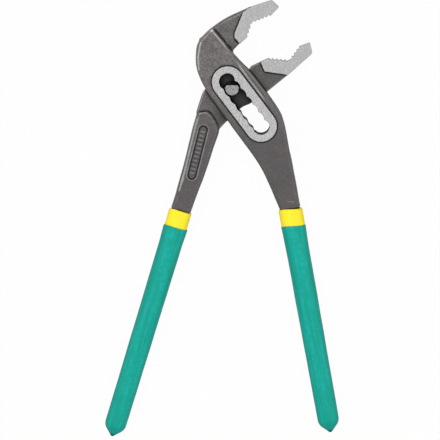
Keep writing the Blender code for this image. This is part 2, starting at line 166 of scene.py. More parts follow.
class ForgingSettings(PropertyGroup):
    """Shape and colours of the two forged levers."""
    mesh_width: length("Mesh width", "Spacing of the even mesh laid over the solids", 0.30)
    pin_mesh_width: length("Pin mesh width", "Spacing of the even mesh laid over the pin", 0.18)
    rounding: whole("Rounding", "Rounds of smoothing on forged edges", 12)
    crispness: whole("Crispness", "Rounds of smoothing on cut edges", 1)
    blending: whole("Blending", "Rounds that soften the border between forged and cut", 3)
    foot_rounding: share("Foot rounding", "Least share of the smoothing at the foot of a step", 0.1)
    swell_width: length("Swell width", "Size of the soft swells a hammer die leaves", 5.0)
    swell_depth: length("Swell depth", "Depth of those swells", 0.07)
    grain_width: length("Grain width", "Size of the scale grain", 0.9)
    grain_depth: length("Grain depth", "Depth of the scale grain", 0.022)
    tinge_width: length("Tinge width", "Size of the brownish patches", 12.0)
    flash_width: length("Flash width", "Half width of the trimmed parting line", 0.55)
    flash_height: length("Flash height", "How far the parting line stands out", 0.16)
    flash_fade: number("Flash fade", "How fast that line fades as a side turns level", 1.4)
    ring_rise: length("Ring rise", "How far the ground ring stands above the box", 0.5)
    ring_reach: length("Ring reach", "How far outside the ring edges stay crisp", 1.12)
    ring_depth: length("Ring depth", "How far below the ring's top edges stay crisp", 1.5)
    slot_half_width: length("Slot half width", "Half the width of the notched slot", 5.3)
    scallop: length("Scallop", "Depth of the shallow notches on the slot's plain side", 0.5)
    scallop_start: length("Scallop start", "Where they begin, from the slot's middle", 2.65)
    scallop_full: length("Scallop full", "How far out they keep their full depth", 3.71)
    # These two also scale the bright edges, partly wear and partly painted highlight, and the painted shade
    # at the foot of steps
    wear_rounds: whole("Wear rounds", "Rounds of smoothing that find edges", 10)
    wear_depth: length("Wear depth", "How far an edge stands out when it is rubbed bright", 0.09)
    # Painted highlight: bright edges are kept to nearly level faces, so that the sides stay dark
    highlight_start: share("Wear start", "How level a face has to be to be rubbed", 0.7)
    highlight_full: share("Wear full", "How level a face has to be to be rubbed fully", 0.92)
    # Painted shade: how far it reaches out of corners, and how far walls keep steel dark and dull
    corner_shade_width: length("Dirt width", "How far dirt reaches out of a corner", 1.6)
    wall_shade_width: length("Dull width", "How far from a wall the steel is kept dull", 4.2)
    jaw_start: length("Jaw start", "Distance across the slot beyond which a raised flat is a jaw", 15.0)
    jaw_half: length("Jaw half", "Half the thickness of the ground jaws", 4.7)
    upper_teeth_start: length("Upper teeth start", "Where the upper teeth start, across the slot", 18.6)
    lower_teeth_start: length("Lower teeth start", "Where the lower teeth start, across the slot", 22.3)
    teeth_end: length("Teeth end", "Where the teeth end, across the slot", 43.5)
    tip_start: length("Tip start", "Where a jaw starts to be ground all round, across the slot", 36.0)
    tooth_rounds: whole("Tooth rounds", "Rounds that smooth the teeth out", 12)
    tooth_gain: number("Tooth gain", "How much further the teeth are cut", 0.8)
    web_half: length("Web half", "Half the thickness of the web behind the upper jaw", 3.8)
    plate_half: length("Plate half", "Height above the mid plane that the plate stays under", 3.4)
    plate_reach: length("Plate reach", "How far past the box the plate's edges stay crisp", 2.0)
    box_half_width: length("Box half width", "Half the width of the slotted box", 13.0)
    shoulder_start: length("Shoulder start", "Where the step on the mouth's side is, across the slot", 11.5)
    shoulder_top: length("Shoulder top", "Upper end of that step, along the slot", -12.0)
    shoulder_end: length("Shoulder end", "Lower end of that step, along the slot", 18.0)
    shoulder_fade: length("Shoulder fade", "Length over which the step runs out", 4.0)
    shoulder_drop: length("Shoulder drop", "How far the step goes down", 0.45)
    heel_start: length("Heel start", "Where the upper jaw's heel begins to slope, along the slot", -22.0)
    heel_end: length("Heel end", "Where that slope ends, along the slot", -15.0)
    heel_slope: share("Heel slope", "How steeply it falls", 0.4)
    recess_top: spot("Recess top", "Centre of the recess's upper end", -16.3, -23.6)
    recess_bottom: spot("Recess bottom", "Centre of the recess's lower end", -22.8, -49.4)
    recess_radius: length("Recess radius", "Half the width of the recess", 2.6)
    rib_count: whole("Rib count", "Plain ribs across the recess", 11)
    rib_height: length("Rib height", "How far a rib stands above the floor of the recess", 0.16)
    rib_reach: share("Rib reach", "Share of the recess's half width that a rib reaches over", 0.82)
    rib_slope: number("Rib slope", "How steeply a rib's two ends fall", 2.2)
    rib_fill: share("Rib fill", "How much of its pitch a rib fills", 0.25)
    nib: spot("Nib", "Place of the nib of flash left on the head", -18.5, 27.8)
    nib_height: length("Nib height", "How far that nib stands out", 0.9)
    nib_width: length("Nib width", "Half the width of that nib", 0.75)
    # Painted highlight along the head's ridge and the box's shoulder, fading out before the collars
    ridge_top: spot("Ridge top", "Upper end of the rubbed ridge on the head", -11.4, 33.5)
    ridge_end: spot("Ridge end", "Lower end of that ridge", 0.4, 20.0)
    ridge_width: length("Ridge width", "How far from its line a ridge is rubbed", 0.8)
    ridge_highlight: number("Ridge wear", "How much more a ridge is rubbed", 2.0)
    flank_width: length("Flank width", "How far from its line the box's shoulder is rubbed", 0.4)
    flank_highlight: number("Flank wear", "How much more that shoulder is rubbed", 1.4)
    highlight_end: length("Rub end", "Where edges stop being rubbed, from the pin", -67.0)
    highlight_fade: length("Rub fade", "Length over which the rubbing fades", 5.0)
    # Painted highlight on the left tang's bevel
    bevel_start: spot("Bevel start", "Upper end of the rubbed bevel on the left tang", -20.2, -17.5)
    bevel_end: spot("Bevel end", "Lower end of that bevel", -28.3, -53.0)
    bevel_width: length("Bevel width", "Half the width of that bevel", 1.1)
    bevel_highlight: share("Bevel wear", "How strongly that bevel is rubbed", 0.52)
    # Bright lines: painted highlight on the head's back rim, and a scratch and a mark on the tangs
    line_width: length("Line width", "How far from its line a rubbed line shows", 0.55)
    line_brightness: share("Line wear", "How strongly a line is rubbed", 0.62)
    # Painted shade: the skin is darkened from the head towards the handles
    head_end: length("Head end", "Where the skin starts to darken, from the pin", 10.0)
    tang_end: length("Tang end", "Where the skin is darkest, from the pin", -28.0)
    tang_painted_shade: share("Tang shade", "How much darker the skin is by the handles", 0.72)
    # Painted shade on the web, on the plate beside and inside the box, and in the fork
    web_shade: share("Web shade", "How much oil darkens the thin web behind the upper jaw", 0.14)
    plate_shade: share("Plate shade", "How much oil darkens the plate outside the box", 0.42)
    fork: spot("Fork", "Where the plate comes out between the two tangs", -4.6, -15.6)
    fork_shade: share("Fork shade", "How much oil darkens the plate there", 0.6)
    fork_reach: length("Fork reach", "How far that oil reaches", 5.0)
    painted_shade_fade: length("Oil fade", "Length over which oil runs out at the box's side", 2.5)
    cutter_length: length("Cutter length", "Length of a streak that the cutter left in the slot", 1.2)
    cutter_pitch: length("Cutter pitch", "Distance between two such streaks", 0.2)
    oxide: tint("Oxide", "Forged skin", "#767271")
    oxide_dark: tint("Dark oxide", "Darker blotches of the skin", "#4A4647")
    oxide_warm: tint("Warm oxide", "Brownish tinge from the heat", "#7C7674")
    # Colour of bright edges: partly wear, mostly painted highlight
    wear_and_highlight: tint("Worn edge", "Where handling rubbed the skin through", "#CBC9C8")
    # Painted shade: near-black steel inside the box and in the slot's walls, with darker streaks
    painted_shade: tint("Oiled steel", "Steel kept dark by oil inside the box", "#262424")
    painted_shade_dark: tint("Dark oil", "Cutter streaks filled with oil", "#100F0F")
    # Painted shade in corners and at the foot of steps
    corner_shade: tint("Dirt", "Dirt and shade in corners", "#0C0B0B")


class GroundSettings(PropertyGroup):
    """Colours and marks of the ground and turned faces."""
    bright: tint("Bright steel", "Ground jaws", "#C1C1C0")
    ring: tint("Ring steel", "Ground ring round the slot", "#D2D2D1")
    dull: tint("Dull steel", "Darker grinding marks", "#A2A2A2")
    pin: tint("Pin steel", "Turned end of the pin", "#9C9C9B")
    pin_bright: tint("Bright pin", "Crests of the turning rings", "#AAAAAA")
    pin_dark: tint("Dark pin", "Pits in the pin's end", "#787877")
    grit_width: length("Grit width", "Size of the pits that grinding leaves", 0.9)
    mark_width: length("Mark width", "Width of a grinding mark as drawn", 0.45)
    mark_length: length("Mark length", "Length of a grinding mark", 5.0)
    turning_pitch: length("Turning pitch", "Distance between turning rings as drawn", 0.5)


class DipSettings(PropertyGroup):
    """Shape and colours of the dipped coats."""
    green: tint("Green dip", "Outer coat", "#19B3A6")
    green_deep: tint("Deep green", "Thicker places of the outer coat", "#0D9B8A")
    green_tip: tint("Green tip", "Drip at the end of the outer coat", "#0B5A50")
    # Painted shade: colour of the green coat where it turns to the side
    green_shaded_side: tint("Green side", "Sides of the outer coat", "#0F897D")
    yellow: tint("Yellow dip", "First coat", "#FFF43A")
    yellow_deep: tint("Deep yellow", "Thicker places of the first coat", "#FDEA30")
    # Painted shade: colour of the yellow coat where it turns to the side
    yellow_shaded_side: tint("Yellow side", "Sides of the first coat", "#FAD933")
    roundness: number("Roundness", "Exponent of the oval section", 2.7)
    wall: length("Wall", "Thickness of the outer coat", 0.9)
    gap: length("Gap", "Room between two coats", 0.3)
    base_wall: length("Base wall", "Thickness of the first coat", 0.7)
    thin_start: length("Thin start", "How far inside the grip the first coat is thinner", 0.84)
    right_inset: length("Right inset", "How far the right collar lies inside the grip", 0.0)
    left_inset: length("Left inset", "How far the left collar lies inside the grip", 0.3)
    bead: length("Bead", "How far a coat's top edge swells", 0.2)
    bead_length: length("Bead length", "How far down a coat that swelling reaches", 0.8)
    dip_wave: length("Dip wave", "Unevenness of the line a coat stops at", 0.18)
    lump: length("Lump", "Unevenness of a coat's thickness", 0.11)
    lump_width: length("Lump width", "Size of that unevenness", 13.0)
    right_tilt: angle("Right tilt", "Lean of the dip line on the right handle", 5.0)
    left_tilt: angle("Left tilt", "Lean of the dip line on the left handle", -2.0)
    shoulder: length("Shoulder", "Radius of the grip's rounded end", 6.0)
    shoulder_turn: angle("Shoulder turn", "How far the rounded end turns in", 45.0)
    drip: length("Drip", "Length of the drip at the end", 3.7)
    drip_radius: length("Drip radius", "Radius of the drip's tip", 1.1)
    tip_start: length("Tip start", "How far above the drip's tip it starts to darken", 2.2)
    tip_full: length("Tip full", "How far above its tip it is darkest", 0.9)
    cloud_width: length("Cloud width", "Size of the soft clouds in a coat", 9.0)
    mottle_width: length("Mottle width", "Size of the mottle in a coat", 2.0)
    peel_width: length("Peel width", "Size of the orange peel on a coat", 1.4)
    streak_width: length("Streak width", "Width of a streak the coat ran in", 3.5)
    streak_length: length("Streak length", "Length of such a streak", 45.0)


class StageSettings(PropertyGroup):
    """Floor, light and camera."""
    image_side: whole("Image side", "Pixels along one side of the picture", 440)
    pixel: length("Pixel", "Real size of a pixel of the picture", 0.5684)
    pin_pixel: FloatVectorProperty(name="Pin pixel", description="Where the pin's axis shows", size=2,
                                   default=(232.0, 88.0))
    lean: angle("Lean", "How far the camera leans over towards the jaws", 6.2)
    distance: length("Distance", "From the camera to the tool", 4000.0)
    sensor: number("Sensor", "Width of the camera's sensor in millimetres", 36.0)
    floor_side: length("Floor side", "Side of the floor", 60000.0)
    floor: tint("Floor", "Pale floor", "#D9D9D9")
    floor_glow: share("Floor glow", "Share of plain white that the floor shows the camera", 0.97)
    sky_low: share("Low sky", "Light from the sides, as a share of white", 0.15)
    sky_high: share("High sky", "Light from straight above, as a share of white", 0.93)
    key: share("Key", "Light of the main lamp on a level face, as a share of white", 0.31)
    fill: share("Fill", "Light of the second lamp on a level face, as a share of white", 0.17)
    lamp_side: length("Lamp side", "Side of a square lamp", 1600.0)
    key_place: lamp_place("Key place", "Where the main lamp hangs", (-1.1, 0.75, 1.3))
    fill_place: lamp_place("Fill place", "Where the second lamp hangs", (1.3, -0.2, 1.1))


def linear(code):
    """Linear colour of an sRGB hex code."""
    parts = [int(code[start:start + 2], 16) / 255 for start in (1, 3, 5)]
    return (*(p / 12.92 if p <= 0.04045 else ((p + 0.055) / 1.055) ** 2.4 for p in parts), 1.0)


def set_inputs(tree, node, inputs):
    """Sets a node's inputs, each to a plain value or to another node's output."""
    for socket, value in inputs.items():
        if isinstance(value, NodeSocket):
            tree.links.new(value, node.inputs[socket])
        else:
            node.inputs[socket].default_value = value


def add_node(tree, kind, inputs=None, **settings):
    """Adds a node with its settings and links."""
    node = tree.nodes.new(kind)
    for name, value in settings.items():
        setattr(node, name, value)
    set_inputs(tree, node, inputs or {})
    return node


def new_material(name):
    """Material with one Principled shader."""
    material = bpy.data.materials.new(name)
    material.use_nodes = True
    return material, material.node_tree, material.node_tree.nodes["Principled BSDF"]


def lay_over(tree, base, colour, measure, start=0.0, full=1.0, least=0.0, most=1.0):
    """Base with a colour laid over it, the least where a measure is at its start, the most where full."""
    amount = add_node(tree, "ShaderNodeMapRange", {
        "Value": measure, "From Min": start, "From Max": full, "To Min": least, "To Max": most})
    mixed = add_node(tree, "ShaderNodeMix", {
        MIX_AMOUNT: amount.outputs["Result"], MIX_LOW: base, MIX_HIGH: colour}, data_type="RGBA")
    return mixed.outputs[MIX_RESULT]


def metallic_for_wall_shade(tree, forging):
    """How metallic steel is: all of it where walls stand close, so that no sheen lifts the painted shade
    there.
    """
    sky = add_node(tree, "ShaderNodeAmbientOcclusion", {"Distance": forging.wall_shade_width}).outputs["AO"]
    return add_node(tree, "ShaderNodeMapRange", {
        "Value": sky, "From Min": 0.55, "From Max": 0.92, "To Min": 1.0, "To Max": 0.35}).outputs["Result"]


def forged_steel(forging):
    """Drop-forged steel with a dark heat-treated oxide: a dull, mottled grey with a fine scale
    grain, slightly brown in places. Painted shade darkens it towards the handles, on the plate and the
    web, inside the box, at the foot of steps and in corners, and its edges are bright with wear and
    painted highlight. Real scale is finer than a third of a millimetre, and is drawn coarser so that it
    shows."""
    material, tree, shader = new_material("forged_steel_oxide")
    place = add_node(tree, "ShaderNodeTexCoord").outputs["Object"]
    from_pin = add_node(tree, "ShaderNodeSeparateXYZ", {"Vector": place}).outputs["Y"]
    edge = add_node(tree, "ShaderNodeAttribute", attribute_name="edge").outputs["Fac"]
    painted_shade = add_node(tree, "ShaderNodeAttribute", attribute_name="painted_shade").outputs["Fac"]
    sky = add_node(tree, "ShaderNodeAmbientOcclusion", {"Distance": forging.corner_shade_width}).outputs["AO"]
    grain = add_node(tree, "ShaderNodeTexNoise", {
        "Vector": place, "Scale": 1 / forging.grain_width, "Detail": 4.0}).outputs["Fac"]
    blotch = add_node(tree, "ShaderNodeTexNoise", {
        "Vector": place, "Scale": 1 / forging.swell_width, "Detail": 5.0}).outputs["Fac"]
    tinge = add_node(tree, "ShaderNodeTexNoise", {
        "Vector": place, "Scale": 1 / forging.tinge_width, "Detail": 2.0}).outputs["Fac"]
    dark, corner_shade = linear(forging.oxide_dark), linear(forging.corner_shade)
    base = lay_over(tree, dark, linear(forging.oxide), blotch, start=0.3, full=0.6, least=0.5)
    base = lay_over(tree, base, linear(forging.oxide_warm), tinge, start=0.45, full=0.7, most=0.6)
    base = lay_over(tree, base, dark, grain, start=0.4, full=0.65, most=0.75)
    # Painted shade: darker from the head towards the handles
    base = lay_over(tree, base, dark, from_pin, forging.head_end, forging.tang_end, most=forging.tang_painted_shade)
    # Bright edges: partly wear, mostly painted highlight
    base = lay_over(tree, base, linear(forging.wear_and_highlight), edge, start=0.35, full=1.35, most=0.85)
    # Painted shade at the foot of every step
    base = lay_over(tree, base, corner_shade, edge, start=-0.22, full=-0.75, most=0.97)
    # Painted shade on the plate and the web, and inside the box
    base = lay_over(tree, base, linear(forging.painted_shade), painted_shade)
    # Painted shade in corners, where little sky reaches
    base = lay_over(tree, base, corner_shade, sky, start=0.88, full=0.6, most=0.9)
    roughness = add_node(tree, "ShaderNodeMapRange", {
        "Value": grain, "From Min": 0.3, "From Max": 0.7, "To Min": 0.44, "To Max": 0.6})
    bump = add_node(tree, "ShaderNodeBump", {"Height": grain, "Strength": 0.7, "Distance": 0.1 * MM})
    set_inputs(tree, shader, {
        "Base Color": base, "Metallic": metallic_for_wall_shade(tree, forging),
        "Roughness": roughness.outputs["Result"], "Normal": bump.outputs["Normal"]})
    return material


def ground_steel(name, bright, ground):
    """Surface-ground tool steel: a bright satin grey with short parallel marks and fine pits. Real
    marks and pits are under a tenth of a millimetre wide, and are drawn coarser so that they show."""
    material, tree, shader = new_material(name)
    place = add_node(tree, "ShaderNodeTexCoord").outputs["Object"]
    turned = add_node(tree, "ShaderNodeMapping", {
        "Vector": place, "Rotation": (0.0, 0.0, math.atan2(SLOT_WAY[1], SLOT_WAY[0])),
        "Scale": (1.0, ground.mark_width / ground.mark_length, 1.0)}).outputs["Vector"]
    marks = add_node(tree, "ShaderNodeTexNoise", {
        "Vector": turned, "Scale": 1 / ground.mark_width, "Detail": 2.0}).outputs["Fac"]
    grit = add_node(tree, "ShaderNodeTexNoise", {
        "Vector": place, "Scale": 1 / ground.grit_width, "Detail": 3.0}).outputs["Fac"]
    base = lay_over(tree, linear(ground.dull), linear(bright), marks, start=0.2, full=0.8)
    base = lay_over(tree, base, linear(ground.dull), grit, start=0.38, full=0.62, most=0.9)
    roughness = add_node(tree, "ShaderNodeMapRange", {
        "Value": marks, "From Min": 0.3, "From Max": 0.7, "To Min": 0.52, "To Max": 0.62})
    bump = add_node(tree, "ShaderNodeBump", {"Height": marks, "Strength": 0.12, "Distance": 0.02 * MM})
    set_inputs(tree, shader, {
        "Base Color": base, "Metallic": 0.9,
        "Roughness": roughness.outputs["Result"], "Normal": bump.outputs["Normal"]})
    return material


def machined_steel(forging):
    """Milled and hardened steel, painted nearly black as shade: the walls of the slot and the inside
    of the window, with faint cutter streaks."""
    material, tree, shader = new_material("machined_steel_painted_shade")
    place = add_node(tree, "ShaderNodeTexCoord").outputs["Object"]
    flattened = add_node(tree, "ShaderNodeMapping", {
        "Vector": place,
        "Scale": (1.0, 1.0, forging.cutter_length / forging.cutter_pitch)}).outputs["Vector"]
    streaks = add_node(tree, "ShaderNodeTexNoise", {
        "Vector": flattened, "Scale": 1 / forging.cutter_length, "Detail": 2.0}).outputs["Fac"]
    # Painted shade: the walls are coloured nearly black, with darker streaks
    base = lay_over(tree, linear(forging.painted_shade_dark), linear(forging.painted_shade), streaks, start=0.3, full=0.7)
    roughness = add_node(tree, "ShaderNodeMapRange", {
        "Value": streaks, "From Min": 0.3, "From Max": 0.7, "To Min": 0.4, "To Max": 0.55})
    set_inputs(tree, shader, {
        "Base Color": base, "Metallic": metallic_for_wall_shade(tree, forging),
        "Roughness": roughness.outputs["Result"]})
    return material


def turned_steel(ground):
    """Turned steel pin: a mid-grey satin with rings about its axis and fine pits. Real rings are about
    a tenth of a millimetre apart, and are drawn coarser so that they show."""
    material, tree, shader = new_material("turned_pin_steel")
    place = add_node(tree, "ShaderNodeTexCoord").outputs["Object"]
    rings = add_node(tree, "ShaderNodeTexWave", {
        "Vector": place, "Scale": 2 * math.pi / (WAVE_TURN * ground.turning_pitch),
        "Distortion": 1.5, "Detail": 2.0}, wave_type="RINGS", rings_direction="Z").outputs["Fac"]
    grit = add_node(tree, "ShaderNodeTexNoise", {
        "Vector": place, "Scale": 1 / ground.grit_width, "Detail": 3.0}).outputs["Fac"]
    base = lay_over(tree, linear(ground.pin), linear(ground.pin_bright), rings)
    base = lay_over(tree, base, linear(ground.pin_dark), grit, start=0.38, full=0.62, most=0.9)
    roughness = add_node(tree, "ShaderNodeMapRange", {
        "Value": grit, "From Min": 0.3, "From Max": 0.7, "To Min": 0.46, "To Max": 0.58})
    bump = add_node(tree, "ShaderNodeBump", {"Height": rings, "Strength": 0.1, "Distance": 0.02 * MM})
    set_inputs(tree, shader, {
        "Base Color": base, "Metallic": 0.9,
        "Roughness": roughness.outputs["Result"], "Normal": bump.outputs["Normal"]})
    return material


def dipped_pvc(name, dip, thin, deep, side, tip):
    """Plastisol PVC that a handle was dipped in: a soft, nearly matt plastic, with long faint streaks
    where it ran, a fine mottle, an orange-peel skin and painted shade where it turns to the side."""
    material, tree, shader = new_material(name)
    place = add_node(tree, "ShaderNodeTexCoord").outputs["Object"]
    run = add_node(tree, "ShaderNodeAttribute", attribute_name="run").outputs["Vector"]
    to_tip = add_node(tree, "ShaderNodeSeparateXYZ", {"Vector": run}).outputs["Z"]
    stretched = add_node(tree, "ShaderNodeMapping", {
        "Vector": run, "Scale": (dip.streak_width / dip.streak_length, 1.0, 0.0)}).outputs["Vector"]
    streaks = add_node(tree, "ShaderNodeTexNoise", {
        "Vector": stretched, "Scale": 1 / dip.streak_width, "Detail": 2.0}).outputs["Fac"]
    clouds = add_node(tree, "ShaderNodeTexNoise", {
        "Vector": place, "Scale": 1 / dip.cloud_width, "Detail": 2.0}).outputs["Fac"]
    mottle = add_node(tree, "ShaderNodeTexNoise", {
        "Vector": place, "Scale": 1 / dip.mottle_width, "Detail": 3.0}).outputs["Fac"]
    peel = add_node(tree, "ShaderNodeTexNoise", {
        "Vector": place, "Scale": 1 / dip.peel_width, "Detail": 2.0}).outputs["Fac"]
    normal = add_node(tree, "ShaderNodeNewGeometry").outputs["Normal"]
    height = add_node(tree, "ShaderNodeSeparateXYZ", {"Vector": normal}).outputs["Z"]
    level = add_node(tree, "ShaderNodeMath", {0: height}, operation="ABSOLUTE").outputs[0]
    base = lay_over(tree, linear(deep), linear(thin), streaks, start=0.35, full=0.65)
    base = lay_over(tree, base, linear(deep), clouds, start=0.5, full=0.75, most=0.5)
    base = lay_over(tree, base, linear(deep), mottle, start=0.4, full=0.65, most=0.6)
    # Painted shade: the coat is deeper in colour where its surface turns to the side
    base = lay_over(tree, base, linear(side), level, start=0.9, full=0.25, most=0.9)
    base = lay_over(tree, base, linear(tip), to_tip, dip.tip_start, dip.tip_full)
    roughness = add_node(tree, "ShaderNodeMapRange", {
        "Value": clouds, "From Min": 0.3, "From Max": 0.7, "To Min": 0.42, "To Max": 0.52})
    bump = add_node(tree, "ShaderNodeBump", {"Height": peel, "Strength": 0.12, "Distance": 0.08 * MM})
    set_inputs(tree, shader, {
        "Base Color": base, "IOR": 1.53, "Specular IOR Level": 0.12,
        "Roughness": roughness.outputs["Result"], "Normal": bump.outputs["Normal"]})
    return material


def seen_as_background(tree):
    """Output that is one for what is seen straight, in gloss or through glass, and nothing for light."""
    path = add_node(tree, "ShaderNodeLightPath").outputs
    seen = path["Is Camera Ray"]
    for kind in ("Is Glossy Ray", "Is Transmission Ray"):
        seen = add_node(tree, "ShaderNodeMath", {0: seen, 1: path[kind]}, operation="MAXIMUM").outputs[0]
    return seen


def pale_floor(stage):
    """Matt painted board: plain white to the eye, with the tool's soft shadow on it."""
    material, tree, shader = new_material("matt_white_board")
    set_inputs(tree, shader, {
        "Base Color": linear(stage.floor), "Roughness": 0.9, "Specular IOR Level": 0.0})
    glow = add_node(tree, "ShaderNodeEmission", {"Strength": 1.0})
    amount = add_node(tree, "ShaderNodeMath", {0: seen_as_background(tree), 1: stage.floor_glow},
                      operation="MULTIPLY")
    mixed = add_node(tree, "ShaderNodeMixShader", {
        "Fac": amount.outputs[0], 1: shader.outputs["BSDF"], 2: glow.outputs["Emission"]})
    set_inputs(tree, tree.nodes["Material Output"], {"Surface": mixed.outputs["Shader"]})
    return material


def add_piece(name, mesh, body, node, slot, *materials):
    """Puts a mesh into the scene as a piece that stands for a solid and moves with its body."""
    piece = bpy.data.objects.new(name, mesh)
    bpy.context.scene.collection.objects.link(piece)
    for material in materials:
        mesh.materials.append(material)
    mesh.shade_smooth()
    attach(piece, body)
    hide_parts(node)


def read(items, name, width=3, kind=np.float32):
    """Values of a mesh's items as rows of an array."""
    flat = np.empty(len(items) * width, kind)
    items.foreach_get(name, flat)
    return flat.reshape(-1, width)


def solid_points(node):
    """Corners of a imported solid, from the middle of the pin."""
    return read(frame["nodes"][node].data.vertices, "co") - PIVOT


def even_mesh(node, width):
    """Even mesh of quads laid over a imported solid."""
    holder = bpy.data.objects.new("holder", frame["nodes"][node].data)
    bpy.context.scene.collection.objects.link(holder)
    remesh = holder.modifiers.new("even mesh", "REMESH")
    remesh.mode = "VOXEL"
    remesh.voxel_size = width
    graph = bpy.context.evaluated_depsgraph_get()
    mesh = bpy.data.meshes.new_from_object(holder.evaluated_get(graph))
    bpy.data.objects.remove(holder)
    mesh.materials.clear()
    return mesh


def mean_of_neighbours(values, edges):
    """Mean of the values of each point's neighbours."""
    ends = edges.ravel()
    others = edges[:, ::-1].ravel()
    count = np.bincount(ends, minlength=len(values))
    sums = [np.bincount(ends, weights=column[others], minlength=len(values)) for column in values.T]
    return np.stack(sums, axis=1) / count[:, None]


def smoothed(values, edges, rounds, amount=DRAW):
    """Values drawn towards their neighbours' mean, round by round."""
    for _ in range(rounds):
        values = values + amount * (mean_of_neighbours(values, edges) - values)
    return values


def move_points(mesh, points):
    """Puts a mesh's points at their places, given from the middle of the pin."""
    limit = HALF_TOTAL - FACE_CLEARANCE
    points[:, 2] = np.clip(points[:, 2], -limit, limit)
    mesh.vertices.foreach_set("co", (points + PIVOT).astype(np.float32).ravel())
    mesh.update()


def line_distance(x, y, start, end):
    """Distance in plan from a straight line, and the share of the way along it."""
    way = np.subtract(end, start)
    reach = np.clip(((x - start[0]) * way[0] + (y - start[1]) * way[1]) / way.dot(way), 0.0, 1.0)
    return np.hypot(x - start[0] - reach * way[0], y - start[1] - reach * way[1]), reach


def on_ring(height, forging):
    """Which heights lie in the upper half of the ground ring."""
    return np.abs(height) > HALF_TOTAL - forging.ring_rise / 2


def ring_distance(along, across, forging):
    """Distance in plan outside the ground ring's edge, in the slot's frame."""
    place = solid_points("upper_jaw_lever") @ SLOT_FRAME
    top = place[on_ring(place[:, 2], forging)]
    low, high = top.min(axis=0), top.max(axis=0)
    radius = (high[1] - low[1]) / 2
    middle = (high[1] + low[1]) / 2
    distance, _ = line_distance(along, across, (low[0] + radius, middle), (high[0] - radius, middle))
    return distance - radius


def in_slot(along, across, forging):
    """Points that lie within the notched slot's reach, in the slot's frame."""
    reach = forging.slot_half_width
    return (np.abs(across) < reach) & (along > SLOT_START - reach) & (along < SLOT_END + reach)


def upper_cut(place, normal, forging):
    """Points of the upper lever that were milled or ground after forging."""
    along, across, height = place.T
    ring = ring_distance(along, across, forging) < forging.ring_reach
    ring &= np.abs(height) > HALF_TOTAL - forging.ring_depth
    window = (height * normal[:, 2] < 0.0) & (np.abs(height) < forging.jaw_half)
    return ring | window | in_slot(along, across, forging) | (across > forging.upper_teeth_start)


def lower_cut(place, normal, forging):
    """Points of the lower lever that were milled or ground after forging: its plate and its jaw."""
    return place[:, 1] > -forging.box_half_width - forging.plate_reach


def upper_finish(place, normal, forging):
    """Finish of each face of the upper lever."""
    along, across, height = place.T
    finish = jaw_finish(place, normal, UPPER_MOUTH, forging.upper_teeth_start, forging)
    level = np.abs(normal[:, 2]) > LEVEL
    window = level & (height * normal[:, 2] < 0.0)
    # The window and the slot's walls take the machined finish, which is painted nearly black as shade
    finish[window | (~level & in_slot(along, across, forging))] = MACHINED
    finish[level & on_ring(height, forging)] = RING
    return finish


def lower_finish(place, normal, forging):
    """Finish of each face of the lower lever."""
    return jaw_finish(place, normal, LOWER_MOUTH, forging.lower_teeth_start, forging)


def teeth_zone(place, normal, mouth_side, teeth_start):
    """Which places lie on the mouth side of a jaw, where its teeth are cut."""
    on_side = (np.abs(normal[:, 2]) < LEVEL) & (normal[:, 0] * mouth_side > MOUTH_LIMIT)
    return on_side & (place[:, 1] > teeth_start)


def upper_teeth(place, normal, forging):
    """Which points lie on the upper jaw's teeth."""
    zone = teeth_zone(place, normal, UPPER_MOUTH, forging.upper_teeth_start)
    return zone & (place[:, 1] < forging.teeth_end)


def lower_teeth(place, normal, forging):
    """Which points lie on the lower jaw's teeth."""
    zone = teeth_zone(place, normal, LOWER_MOUTH, forging.lower_teeth_start)
    return zone & (place[:, 1] < forging.teeth_end)


def deepen_teeth(points, edges, teeth, forging):
    """Points with the teeth cut further in plan, so that their crests and roots stay sharp."""
    flat = smoothed(points, edges, forging.tooth_rounds)
    return points + forging.tooth_gain * (points - flat) * IN_PLAN * teeth[:, None]


def jaw_finish(place, normal, mouth_side, teeth_start, forging):
    """Forged all over, apart from the jaw's two faces, its tip and the teeth cut on its mouth side."""
    along, across, height = place.T
    upright = np.abs(normal[:, 2])
    face = (across > forging.jaw_start) & (np.abs(height) > forging.jaw_half - forging.mesh_width / 2)
    face &= (upright > SLOPING) & (np.abs(height) < forging.jaw_half + forging.ring_rise)
    tip = (across > forging.tip_start) & (upright < LEVEL)
    return np.where(face | tip | teeth_zone(place, normal, mouth_side, teeth_start), GROUND, FORGED)


def as_packed(points, forging):
    """Points left where the solid has them."""
    return points


def cut_scallops(points, forging):
    """Points with the slot's plain side pushed back into the shallow notches that face the deep ones."""
    along, across, _ = (points @ SLOT_FRAME).T
    pitch = (SLOT_END - SLOT_START) / SLOT_STEPS
    notch = 0.5 + 0.5 * np.cos(2 * math.pi * (along - SLOT_START) / pitch)
    edge = np.clip(2.0 - np.abs(across) / forging.scallop_full, 0.0, 1.0)
    inner = in_slot(along, across, forging) & (across < -forging.scallop_start)
    inner &= (along > SLOT_START) & (along < SLOT_END)
    return points - SLOT_FRAME[:, 1] * (forging.scallop * notch * edge * inner)[:, None]


def shoulder_reach(along, forging):
    """Share of the shoulder's step that is there at each point along the slot, less towards its ends."""
    inside = np.minimum(along - forging.shoulder_top, forging.shoulder_end - along)
    return np.clip(inside / forging.shoulder_fade, 0.0, 1.0)


def lower_shoulder(points, forging):
    """Points with the box's shoulder on the mouth's side set down by a step."""
    along, across, height = (points @ SLOT_FRAME).T
    past = np.clip((across - forging.shoulder_start) / forging.mesh_width, 0.0, 1.0)
    drop = forging.shoulder_drop * shoulder_reach(along, forging) * past
    top = HALF_TOTAL - forging.ring_rise - drop
    return points + UP * np.where(drop > 0.0, np.clip(height, -top, top) - height, 0.0)[:, None]


